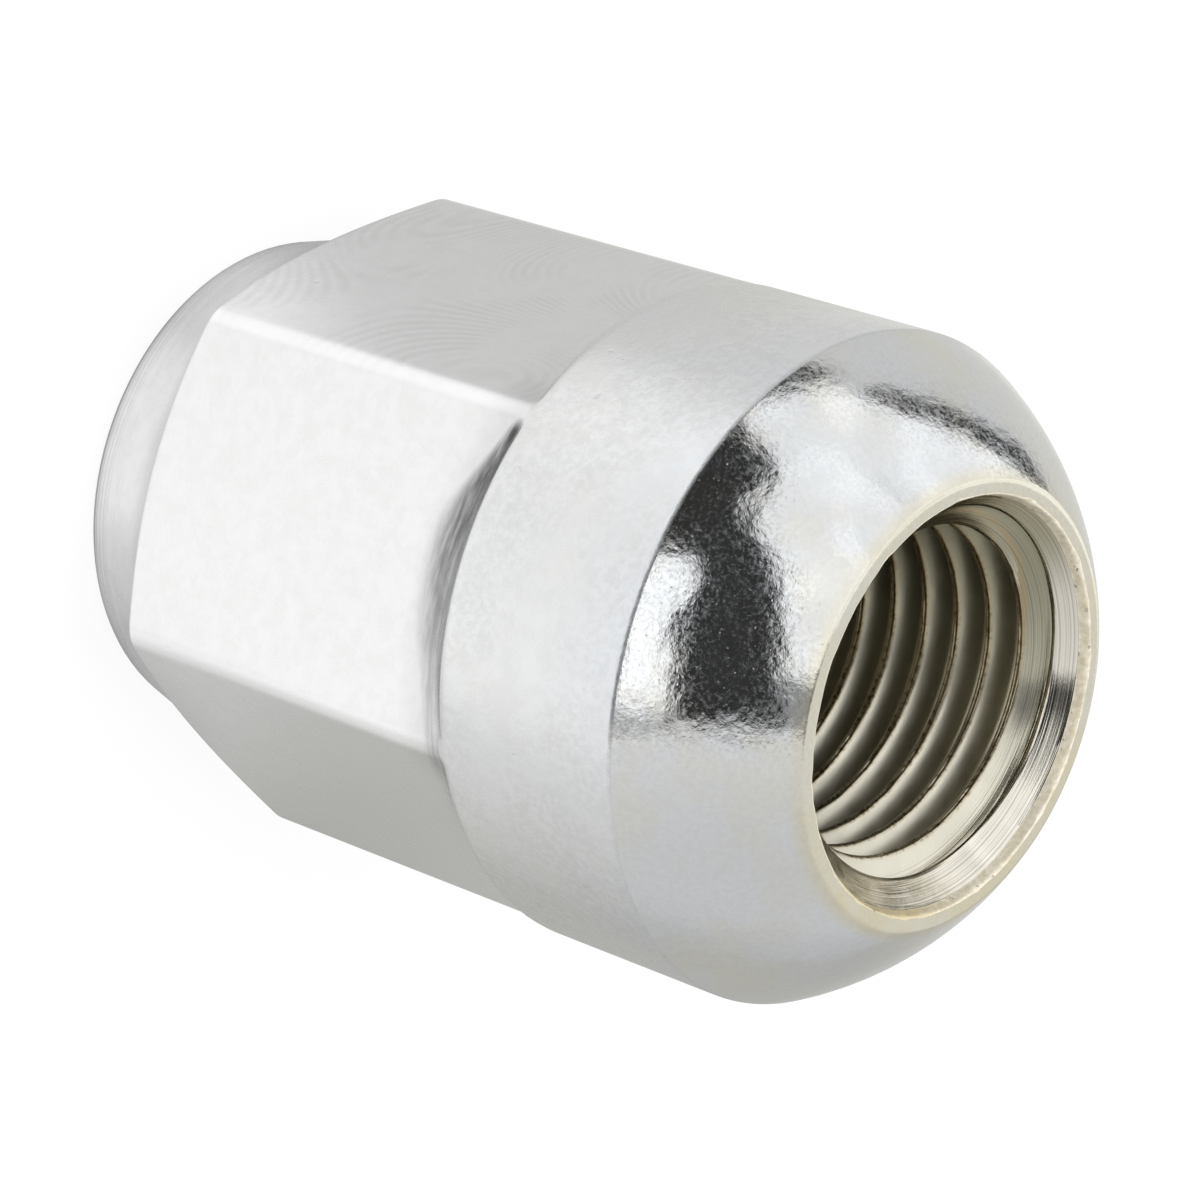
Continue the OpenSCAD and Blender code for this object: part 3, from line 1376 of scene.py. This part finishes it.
@dataclass(frozen=True)
class BoreFinish(Finish):
    """Thinly plated bore: brown crests, olive flanks, cream countersink."""

    crest: Colour = (0.70, 0.64, 0.50)
    crest_shade: Colour = (0.46, 0.38, 0.24)
    crest_r: Ramp = Ramp(6.24, 6.34)
    ragged: float = 0.09
    ragged_scale: float = 2600.0
    speck: Colour = (0.34, 0.27, 0.16)
    speck_scale: float = 5200.0
    speck_ends: Ramp = Ramp(0.48, 0.66)
    # Painted light and shade: the bore is paler towards this azimuth, darker away from
    # it.
    painted_light_way: float = math.radians(-5.0)
    painted_light_turn: Ramp = Ramp(-0.97, 0.5)
    cone: Colour = (0.90, 0.86, 0.76)
    cone_shade: Colour = (0.46, 0.43, 0.31)
    cone_turn: Ramp = Ramp(-0.97, -0.65)
    cone_gloss: Span = (0.10, 0.16)
    cone_r: float = 7.62
    cone_z: float = 34.6
    cone_skin: Ramp = Ramp(0.03, 0.06, 1.0, 0.0)
    lip_skin: Ramp = Ramp(0.08, 0.16)
    lip_ragged: float = 0.6
    rust: Colour = (0.56, 0.51, 0.39)
    rust_way: float = math.radians(-10.0)
    rust_turn: Ramp = Ramp(0.68, 0.94)
    rust_clouds: Ramp = Ramp(0.0, 1.0, 1.0, 0.5)
    groove_z: Ramp = Ramp(32.9, 33.3)
    drill_z: Ramp = Ramp(15.0, 16.0, 1.0, 0.0)

    def _behind(self, at: Surface) -> Socket:
        """Depth of a point behind the countersink's cone."""
        depth = at.nodes.math("SUBTRACT", at.radius, at.z)
        return at.nodes.math("ADD", depth, (self.cone_z - self.cone_r) * MM)

    def turned(self, at: Surface) -> Socket:
        """Share of the surface that is turned: the cone and its first groove.

        Args:
            at: Point of the surface.

        Returns:
            The share.
        """
        cone = at.nodes.ramp(self._behind(at), self.cone_skin, MM)
        groove = at.nodes.ramp(at.z, self.groove_z, MM)
        return at.nodes.math("MAXIMUM", cone, groove)

    def tone(self, at: Surface) -> Socket:
        """Colour over the surface.

        Crests and the lips of the grooves in the cone are brown and ragged,
        the flanks olive and the cone cream. Crests, flanks and cone are paler
        on one side of the bore and darker on the other, as painted light and
        shade; the cone has a brown stain on the paler side. Below the thread
        the drilled bore is plain.

        Args:
            at: Point of the surface.

        Returns:
            The colour.
        """
        nodes = at.nodes
        grit = nodes.noise(at.place, self.ragged_scale)
        ragged = nodes.math(
            "MULTIPLY_ADD", grit, self.ragged * MM, -self.ragged / 2 * MM
        )
        # Painted light and shade by side of the bore.
        pale = at.facing(self.painted_light_way, self.painted_light_turn)
        flank = nodes.blend(pale, self.shade, self.colour)
        speck = nodes.ramp(nodes.noise(at.place, self.speck_scale), self.speck_ends)
        crest = nodes.blend(pale, self.crest_shade, self.crest)
        crest = nodes.blend(speck, crest, self.speck)
        radius = nodes.math("ADD", at.radius, ragged)
        share = nodes.math(
            "MAXIMUM",
            nodes.ramp(radius, self.crest_r, MM),
            nodes.ramp(at.z, self.drill_z, MM),
        )
        thread = nodes.blend(share, crest, flank)
        depth = nodes.product(ragged, self.lip_ragged)
        depth = nodes.math("ADD", self._behind(at), depth)
        lip = nodes.ramp(depth, self.lip_skin, MM)
        thread = nodes.blend(lip, self.crest_shade, thread)
        # Painted shade on the cone, away from the painted light side.
        cone = at.facing(self.painted_light_way, self.cone_turn)
        cone = nodes.blend(cone, self.cone_shade, self.cone)
        rust = nodes.product(
            at.facing(self.rust_way, self.rust_turn),
            nodes.ramp(at.cloud, self.rust_clouds),
        )
        cone = nodes.blend(rust, cone, self.rust)
        return nodes.blend(nodes.ramp(depth, self.cone_skin, MM), thread, cone)

    def roughness(self, at: Surface) -> Socket:
        """Roughness over the surface: the cone is glossier than the thread."""
        cone = at.nodes.step(at.cloud, 0.0, 1.0, *self.cone_gloss)
        return at.nodes.fade(self.turned(at), super().roughness(at), cone)


FINISHES: dict[Zone, Finish] = {
    Zone.TURNED_END: TintedFinish(
        name="turned_end_plate",
        colour=(0.82, 0.82, 0.825),
        shade=(0.77, 0.77, 0.78),
        gloss=(0.22, 0.28),
        line_mm=0.16,
        line_depth=0.03,
        grain_depth=0.003,
        # The grey tint up from 2.9 mm is painted shade under the hexagon's overhang.
        tint=(0.60, 0.60, 0.60),
        tint_z=Ramp(2.9, 4.1),
    ),
    Zone.PLATE: FlatsFinish(
        name="satin_plate",
        colour=(0.828, 0.835, 0.829),
        shade=(0.798, 0.805, 0.795),
        gloss=(0.22, 0.28),
        cloud_mm=0.7,
        swirl_mm=16.0,
        swirl_shade=0.06,
        grain_mm=0.16,
        grain_depth=0.006,
        pit_mm=0.9,
        pit_share=0.2,
        pit_depth=0.008,
        wave_depth=0.012,
    ),
    Zone.COLLAR: TintedFinish(
        name="collar_plate",
        colour=(0.768, 0.778, 0.778),
        shade=(0.745, 0.753, 0.75),
        gloss=(0.22, 0.30),
        cloud_mm=0.9,
        grain_mm=0.3,
        grain_depth=0.014,
        grain_shade=0.065,
        pit_mm=0.8,
        pit_share=0.06,
        pit_depth=0.01,
        pit_shade=0.08,
        wave_mm=1.8,
        wave_depth=0.03,
        stain=(0.755, 0.755, 0.725),
        stain_share=0.4,
        tint=(0.74, 0.76, 0.785),
        tint_z=Ramp(25.0, 31.0),
    ),
    Zone.SEAT: TintedFinish(
        name="bright_seat_plate",
        colour=(0.80, 0.82, 0.835),
        shade=(0.78, 0.80, 0.815),
        gloss=(0.06, 0.20),
        cloud_mm=0.15,
        grain_mm=0.22,
        grain_depth=0.008,
        grain_shade=0.035,
        pit_mm=0.15,
        pit_share=0.12,
        pit_depth=0.003,
        wave_mm=1.4,
        wave_depth=0.03,
        stain=(0.80, 0.785, 0.71),
        stain_share=0.6,
        tint=(0.79, 0.735, 0.55),
        tint_z=Ramp(34.5, 35.0),
        tint_way=math.radians(40.0),
        tint_turn=Ramp(-0.6, 0.6, 0.7, 1.0),
    ),
    Zone.RIM: TintedFinish(
        name="rim_plate",
        colour=(0.85, 0.80, 0.67),
        shade=(0.72, 0.65, 0.49),
        gloss=(0.36, 0.46),
        metal=0.4,
        cloud_mm=0.45,
        grain_mm=0.2,
        grain_depth=0.010,
        grain_shade=0.15,
        pit_mm=0.35,
        pit_share=0.35,
        pit_depth=0.02,
        pit_shade=0.5,
        wave_mm=0.8,
        wave_depth=0.015,
        tint=(0.66, 0.57, 0.36),
        tint_way=math.radians(-10.0),
        tint_turn=Ramp(0.82, 0.98),
    ),
    Zone.BORE: BoreFinish(
        name="bore_plate",
        # colour and shade are the flanks on the painted light and the painted shade
        # side.
        colour=(0.76, 0.73, 0.62),
        shade=(0.38, 0.36, 0.26),
        gloss=(0.28, 0.34),
        cloud_mm=0.9,
        grain_mm=0.2,
        grain_depth=0.002,
        line_mm=0.11,
        line_depth=0.012,
        line_shade=0.34,
    ),
}


@dataclass
class LugNut:
    """The whole nut: its sizes, its skin and its finishes."""

    length: float = 35.0
    end: ClosedEnd = field(default_factory=ClosedEnd)
    hexagon: Hexagon = field(default_factory=Hexagon)
    shoulder: Shoulder = field(default_factory=Shoulder)
    seat: BallSeat = field(default_factory=BallSeat)
    mouth: Mouth = field(default_factory=Mouth)
    thread: Thread = field(default_factory=Thread)

    def outer_bands(self, loom: Loom) -> list[Band]:
        """Strips from the closed end over the outside into the mouth.

        Args:
            loom: Maker of bands.

        Returns:
            The strips in order.
        """
        bands = self.end.bands(loom, self.hexagon)
        shoulder_z = self.length - self.seat.depth - self.seat.collar_len
        bands += self.shoulder.bands(
            loom, self.hexagon, bands[-1].height[-1], self.seat.collar_r, shoulder_z
        )
        seat, face_r = self.seat.bands(
            loom, bands[-1].height[-1], self.mouth.rim_r, self.length
        )
        return bands + seat + self.mouth.bands(loom, face_r, self.length)

    def skin(self) -> Skin:
        """Closes the strips, the thread and the drill point into one skin.

        Returns:
            The skin.
        """
        angles = self.hexagon.columns()
        loom = Loom(angles)
        skin = Skin(angles)
        outside = skin.add_bands(self.outer_bands(loom))
        inside = skin.add_bands(self.thread.drill_bands(loom))
        skin.add_pole(outside[0], 0.0, Zone.TURNED_END, first=True)
        skin.add_pole(inside[-1], self.thread.end_wall, Zone.BORE, first=False)
        top_z = self.length - self.mouth.land_depth
        sheet = self.thread.sheet(angles, self.mouth.land_r, top_z)
        kept, faces = sheet.quads(skin.size, inside[0], outside[-1])
        column = np.broadcast_to(angles, sheet.radius.shape)
        skin.add_points(sheet.radius[kept], column[kept], sheet.height[kept])
        skin.add_faces(faces, np.full(len(faces), Zone.BORE.value))
        return skin

    def build(self) -> bpy.types.Object:
        """Makes the nut's object from its skin.

        Returns:
            The object, at the origin.
        """
        mesh = self.skin().mesh("plated_nut")
        nut = bpy.data.objects.new("plated_nut", mesh)
        bpy.context.scene.collection.objects.link(nut)
        return nut

    def dress(self, nut: bpy.types.Object, effect: Effect) -> None:
        """Gives every zone its material, in the order of the slots.

        Args:
            nut: The nut's object.
            effect: Shared node groups.
        """
        for zone in Zone:
            nut.data.materials.append(FINISHES[zone].material(effect))


# Studio


@dataclass
class Camera:
    """Camera at the photograph's viewing angle, rolled on its side."""

    target: Triple = (0.431, 0.210, 17.808)
    azimuth: float = math.radians(-95.77)
    elevation: float = math.radians(39.237)
    roll: float = math.radians(108.525)
    distance: float = 191.89
    lens: float = 153.074
    sensor: float = 36.0
    clip_start: float = 0.01

    def axes(self) -> tuple[Vector, Vector, Vector]:
        """Directions of the image in space.

        Returns:
            The image's right, its up, and the way back to the camera.
        """
        level = math.cos(self.elevation)
        toward = Vector(
            (
                level * math.cos(self.azimuth),
                level * math.sin(self.azimuth),
                math.sin(self.elevation),
            )
        )
        side = Vector((0.0, 0.0, 1.0)).cross(toward).normalized()
        rise = toward.cross(side)
        right = side * math.cos(self.roll) + rise * math.sin(self.roll)
        return right, toward.cross(right), toward

    def build(self) -> bpy.types.Object:
        """Makes the camera and hands it to the scene.

        Returns:
            The camera.
        """
        right, up, toward = self.axes()
        data = bpy.data.cameras.new("studio_camera")
        data.lens = self.lens
        data.sensor_width = self.sensor
        data.clip_start = self.clip_start
        camera = bpy.data.objects.new("studio_camera", data)
        spot = Vector(self.target) + toward * self.distance
        camera.matrix_world = Matrix.Translation(spot * MM) @ Matrix(
            (right, up, toward)
        ).transposed().to_4x4()
        bpy.context.scene.collection.objects.link(camera)
        bpy.context.scene.camera = camera
        return camera


@dataclass
class Floor:
    """Pale paper floor, shaded round the nut for the metal that mirrors it."""

    half: float = 1.5
    steps: int = 12
    paper: Colour = (0.9, 0.9, 0.9)
    glow: float = 0.9
    warm: Colour = (1.0, 0.985, 0.94)
    white: Colour = (1.0, 1.0, 1.0)
    warm_turn: Ramp = Ramp(-1.0, 0.6)
    bright_azimuth: float = math.radians(-105.0)
    level: float = 0.756
    bright: float = 0.33
    bright_turn: Span = (0.35, 0.8)
    bright_loss: float = 0.05
    outer_reach: Ramp = Ramp(0.036, 0.041)
    dim: float = 0.35
    dim_turn: Span = (-0.5, 0.35)
    dim_side: Ramp = Ramp(-0.2, 0.4)
    slope: float = 0.08
    end_level: float = 0.16
    end_reach: Ramp = Ramp(0.085, 0.11)
    end_turn: Ramp = Ramp(0.6, 0.72)
    end_scale: float = 9.0
    end_breaks: Ramp = Ramp(0.36, 0.56, 0.35, 1.0)
    lift_side: Ramp = Ramp(-0.6, -0.15, 0.17, 0.0)
    lift_reach: Ramp = Ramp(0.060, 0.080, 1.0, 0.0)
    lee_side: Ramp = Ramp(0.5, 0.8)
    lee_reach: Ramp = Ramp(0.018, 0.034, 0.12, 0.0)
    far_from: Ramp = Ramp(-0.6, -0.2)
    far_to: Ramp = Ramp(0.5, 0.7, 1.0, 0.0)
    far_side: Ramp = Ramp(0.0, 0.4)
    far_reach: Ramp = Ramp(0.055, 0.085, 0.0, 0.05)
    foot_azimuth: float = math.radians(-96.0)
    foot_turn: Ramp = Ramp(0.86, 0.99, 0.72, 0.90)
    foot_reach: Span = (0.0120, 0.0150)
    edge_turn: Ramp = Ramp(0.75, 0.92, 0.50, 0.20)
    edge_reach: Span = (0.0094, 0.0101)

    def build(self) -> bpy.types.Object:
        """Makes the floor: a flat grid at the height of zero.

        Returns:
            The floor.
        """
        line = self.half * (2 * even(self.steps) - 1)
        x, y = np.meshgrid(line, line, indexing="ij")
        points = np.stack([x, y, np.zeros_like(x)], axis=-1).reshape(-1, 3)
        ids = np.arange(x.size).reshape(x.shape)
        corners = [ids[:-1, :-1], ids[1:, :-1], ids[1:, 1:], ids[:-1, 1:]]
        faces = np.stack(corners, axis=-1).reshape(-1, 4)
        mesh = bpy.data.meshes.new("floor")
        mesh.from_pydata(points.tolist(), [], faces.tolist())
        mesh.materials.append(self._material())
        floor = bpy.data.objects.new("floor", mesh)
        bpy.context.scene.collection.objects.link(floor)
        return floor

    def _material(self) -> bpy.types.Material:
        """White to the camera with a faint shadow, shaded round for the metal.

        Returns:
            The material.
        """
        made = bpy.data.materials.new("floor_paper")
        made.use_nodes = True
        nodes = Nodes(made.node_tree)
        made.node_tree.nodes.remove(made.node_tree.nodes["Principled BSDF"])
        place = nodes.add("ShaderNodeTexCoord").outputs["Object"]
        warm = nodes.ramp(nodes.heading(place, self.bright_azimuth), self.warm_turn)
        colour = nodes.blend(warm, self.warm, self.white)
        seen = {"Color": colour, "Strength": self._level(nodes, place)}
        seen = nodes.add("ShaderNodeEmission", seen)
        glow = nodes.add("ShaderNodeEmission", {"Strength": 1.0})
        paper = nodes.add("ShaderNodeBsdfDiffuse", {"Color": (*self.paper, 1.0)})
        ray = nodes.add("ShaderNodeLightPath").outputs["Is Glossy Ray"]
        shader = paper.outputs["BSDF"]
        for share, light in ((self.glow, glow), (ray, seen)):
            inputs = (share, shader, light.outputs["Emission"])
            shader = nodes.add("ShaderNodeMixShader", inputs).outputs["Shader"]
        nodes.feed(made.node_tree.nodes["Material Output"].inputs["Surface"], shader)
        return made

    def _level(self, nodes: Nodes, place: Socket) -> Socket:
        """Level of the floor that the metal sees.

        It swings with the direction from the nut, as beside a lamp on one
        side. Shares of it are left beyond the bright side's ragged far end,
        in the lee, near the nut's foot and right at its edge. One side is
        lifted a little.

        Args:
            nodes: Nodes of the material.
            place: The floor's coordinates.

        Returns:
            The level.
        """
        reach = nodes.length(place)
        turn = nodes.heading(place, self.bright_azimuth)
        side = nodes.heading(place, self.bright_azimuth + math.pi / 2)
        front = nodes.heading(place, self.foot_azimuth)
        outer = nodes.ramp(reach, self.outer_reach)
        peak = self.level + self.bright
        peak = nodes.math("MULTIPLY_ADD", outer, -self.bright_loss, peak)
        level = nodes.step(turn, *self.bright_turn, self.level, peak)
        low, high = self.dim_turn
        held = nodes.math("MAXIMUM", nodes.math("MINIMUM", turn, high), low)
        held = nodes.math("SUBTRACT", held, high)
        dim = nodes.product(held, self.dim, nodes.ramp(side, self.dim_side))
        level = nodes.math("ADD", level, dim)
        breaks = nodes.noise(nodes.unit(place), self.end_scale, detail=3.0)
        end = nodes.within(
            (reach, self.end_reach), (turn, self.end_turn), (breaks, self.end_breaks)
        )
        lift = nodes.within((side, self.lift_side), (reach, self.lift_reach))
        near = nodes.within((side, self.lee_side), (reach, self.lee_reach))
        far = nodes.within(
            (turn, self.far_from),
            (turn, self.far_to),
            (side, self.far_side),
            (reach, self.far_reach),
        )
        foot = nodes.ramp(front, self.foot_turn)
        edge = nodes.ramp(front, self.edge_turn)
        return nodes.product(
            nodes.math("MULTIPLY_ADD", side, self.slope, level),
            nodes.step(end, 0.0, 1.0, 1.0, self.end_level),
            nodes.math("MULTIPLY_ADD", outer, lift, 1.0),
            nodes.math("SUBTRACT", 1.0, nodes.math("ADD", near, far)),
            nodes.step(reach, *self.foot_reach, foot, 1.0),
            nodes.step(reach, *self.edge_reach, edge, 1.0),
        )


class Gaze:
    """Direction of a ray along the image's axes, as fixed vectors."""

    def __init__(self, nodes: Nodes, camera: Camera) -> None:
        """Reads the ray's direction along the image's right, up and back.

        Args:
            nodes: Nodes of the world.
            camera: Camera whose directions the studio was set up by.
        """
        self.nodes = nodes
        self.frame = camera.axes()
        self.way = nodes.add("ShaderNodeTexCoord").outputs["Generated"]
        self.x, self.y, self.z = (nodes.dot(self.way, tuple(a)) for a in self.frame)
        self.tall = nodes.axes(self.way)["Z"]

    def along(self, parts: Triple) -> Socket:
        """Part of the direction along a way given in the image's axes."""
        ways = [axis * part for axis, part in zip(self.frame, parts)]
        return self.nodes.dot(self.way, tuple(ways[0] + ways[1] + ways[2]))


@dataclass
class Tent:
    """White tent round the nut, with the dark things that the metal mirrors.

    It is lit from above and grey below. A dark screen with rounded edges
    stands in front, and a thin dark hoop runs from it along the edge of the
    paler back.
    """

    tent_level: float = 1.08
    window_level: float = 1.3
    window_side: Span = (-0.4, -0.1)
    fold_scale: float = 4.0
    folds: Ramp = Ramp(0.36, 0.64, 0.88, 1.10)
    low_level: float = 0.78
    ground_level: float = 0.65
    ground_rise: Span = (-1.0, -0.5)
    hem_tilt: Ramp = Ramp(0.4, 0.8, 0.0, 0.3)
    hem_rise: Ramp = Ramp(-0.55, -0.46)
    haze_level: float = 0.54
    haze_tall: Ramp = Ramp(0.0, 0.35, 1.0, 0.0)
    haze_rise: Ramp = Ramp(-0.3, 0.0, 1.0, 0.0)
    haze_near: Ramp = Ramp(-0.4, 0.1, 1.0, 0.0)
    hub: Triple = (-0.107, 0.776, -0.621)
    back_level: float = 0.665
    back_lean: Ramp = Ramp(0.55, 0.62)
    dark_level: float = 0.03
    hoop_lean: float = 0.587
    hoop_width: Ramp = Ramp(0.025, 0.055, 1.0, 0.0)
    hoop_side: Ramp = Ramp(0.49, 0.57)
    smear_way: Triple = (0.712, 0.592, 0.378)
    smear_core: Ramp = Ramp(0.991, 0.997, 0.0, 0.4)
    smear_across: Triple = (-0.02, 0.571, -0.82)
    smear_width: Ramp = Ramp(0.005, 0.035, 1.0, 0.0)
    foot_share: float = 0.7
    foot_rise: Ramp = Ramp(-0.51, -0.48)
    foot_tilt: Ramp = Ramp(0.2, 0.35, 0.0, 0.14)
    foot_top: Ramp = Ramp(-0.43, -0.38, 1.0, 0.0)
    foot_near: Ramp = Ramp(0.3, 0.5)
    screen_edge: Ramp = Ramp(-0.02, 0.03)
    screen_left: Ramp = Ramp(0.05, 0.2, -0.26, -0.13)
    screen_wide: Ramp = Ramp(0.36, 0.46, 0.0, 1.0)
    screen_right: tuple[Ramp, ...] = (
        Ramp(0.2, 0.55, 0.31, 0.15),
        Ramp(0.58, 0.71, 0.0, 0.11),
        Ramp(0.74, 0.92, 0.0, -0.18),
    )
    screen_rise: Ramp = Ramp(-0.49, -0.46)
    screen_top: Ramp = Ramp(0.86, 0.93, 1.0, 0.0)
    screen_near: Ramp = Ramp(0.0, 0.15)
    sill_level: Ramp = Ramp(0.2, 0.8, 0.16, 0.06)
    sill_edge: Ramp = Ramp(0.0, 0.06, 1.0, 0.0)
    sill_near: Ramp = Ramp(-0.10, 0.05)

    def build(self, camera: Camera) -> None:
        """Makes the world that the plated steel mirrors.

        Args:
            camera: Camera whose directions the studio was set up by.
        """
        world = bpy.data.worlds.new("studio_world")
        bpy.context.scene.world = world
        world.use_nodes = True
        nodes = Nodes(world.node_tree)
        gaze = Gaze(nodes, camera)
        haze = nodes.within(
            (gaze.tall, self.haze_tall),
            (gaze.y, self.haze_rise),
            (gaze.z, self.haze_near),
        )
        lean = gaze.along(self.hub)
        layers = [
            (haze, self.haze_level),
            (nodes.ramp(lean, self.back_lean), self.back_level),
        ]
        dark = (*self._strokes(gaze, lean), self._screen(gaze))
        layers += [(share, self.dark_level) for share in dark]
        level = self._cloth(gaze)
        for share, other in layers:
            level = nodes.fade(share, level, other)
        ray = nodes.add("ShaderNodeLightPath").outputs["Is Glossy Ray"]
        back = world.node_tree.nodes["Background"]
        back.inputs["Color"].default_value = (1.0, 1.0, 1.0, 1.0)
        nodes.feed(back.inputs["Strength"], nodes.fade(ray, 1.0, level))

    def _cloth(self, gaze: Gaze) -> Socket:
        """Level of the tent's folded cloth and of the ground below its hem.

        Args:
            gaze: Direction of the ray.

        Returns:
            The level.
        """
        nodes = gaze.nodes
        ends = (self.ground_level, self.low_level)
        low = nodes.step(gaze.y, *self.ground_rise, *ends)
        ends = (self.window_level, self.tent_level)
        cloth = nodes.step(gaze.x, *self.window_side, *ends)
        folds = nodes.noise(gaze.way, self.fold_scale, detail=3.0, twist=0.6)
        cloth = nodes.product(cloth, nodes.ramp(folds, self.folds))
        hem = nodes.math("SUBTRACT", gaze.y, nodes.ramp(gaze.x, self.hem_tilt))
        return nodes.fade(nodes.ramp(hem, self.hem_rise), low, cloth)

    def _strokes(self, gaze: Gaze, lean: Socket) -> tuple[Socket, ...]:
        """Shares of the narrow dark things.

        Args:
            gaze: Direction of the ray.
            lean: Cosine of its angle to the back's middle.

        Returns:
            Hoop along the back's edge, smear beside it, strip at the foot.
        """
        nodes = gaze.nodes
        ring = nodes.math("ABSOLUTE", nodes.math("SUBTRACT", lean, self.hoop_lean))
        hoop = nodes.within((ring, self.hoop_width), (gaze.x, self.hoop_side))
        core = gaze.along(self.smear_way)
        beside = nodes.math("ABSOLUTE", gaze.along(self.smear_across))
        smear = nodes.within((core, self.smear_core), (beside, self.smear_width))
        over = nodes.math("SUBTRACT", gaze.y, nodes.ramp(gaze.x, self.foot_tilt))
        strip = nodes.within(
            (gaze.y, self.foot_rise), (over, self.foot_top), (gaze.z, self.foot_near)
        )
        return hoop, smear, nodes.product(strip, self.foot_share)

    def _screen(self, gaze: Gaze) -> Socket:
        """Share of the dark screen in front and of the sill below it.

        Args:
            gaze: Direction of the ray.

        Returns:
            The share.
        """
        nodes = gaze.nodes
        left = nodes.ramp(gaze.y, self.screen_left)
        left = nodes.fade(nodes.ramp(gaze.y, self.screen_wide), left, -1.0)
        right: Operand = 0.0
        for part in self.screen_right:
            right = nodes.math("ADD", right, nodes.ramp(gaze.y, part))
        screen = nodes.within(
            (nodes.math("SUBTRACT", gaze.x, left), self.screen_edge),
            (nodes.math("SUBTRACT", right, gaze.x), self.screen_edge),
            (gaze.y, self.screen_rise),
            (gaze.y, self.screen_top),
            (gaze.z, self.screen_near),
        )
        height = nodes.math("SUBTRACT", gaze.tall, nodes.ramp(gaze.y, self.sill_level))
        sill = nodes.within(
            (height, self.sill_edge),
            (gaze.y, self.screen_rise),
            (gaze.z, self.sill_near),
        )
        return nodes.math("MAXIMUM", screen, sill)


@dataclass
class Lamp:
    """Wide soft lamp overhead, for the floor's shadow."""

    size: float = 0.5
    energy: float = 3.0
    place: Triple = (-0.15, -0.25, 0.6)

    def build(self) -> bpy.types.Object:
        """Makes the lamp, facing the nut and hidden from the metal.

        Returns:
            The lamp.
        """
        data = bpy.data.lights.new("soft_lamp", "AREA")
        data.shape = "DISK"
        data.size = self.size
        data.energy = self.energy
        lamp = bpy.data.objects.new("soft_lamp", data)
        lamp.location = self.place
        lamp.rotation_euler = Vector(self.place).to_track_quat("Z", "Y").to_euler()
        lamp.visible_glossy = False
        bpy.context.scene.collection.objects.link(lamp)
        return lamp


def main() -> None:
    """Builds the nut and the studio around it, and reports each piece."""
    logging.basicConfig(level=logging.INFO, format="%(name)s: %(message)s")
    bpy.context.scene.view_settings.view_transform = "Standard"
    effect = Effect()
    lug_nut = LugNut()
    nut = lug_nut.build()
    lug_nut.dress(nut, effect)
    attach(nut, BODY)
    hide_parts(CAD_NODE)
    nut.data.calc_loop_triangles()
    log.info("%s: %d triangles", nut.name, len(nut.data.loop_triangles))
    camera = Camera()
    log.info("%s placed", camera.build().name)
    floor = Floor().build()
    log.info("%s laid", floor.name)
    Tent().build(camera)
    log.info("%s hung", Lamp().build().name)


if __name__ == "__main__":
    main()
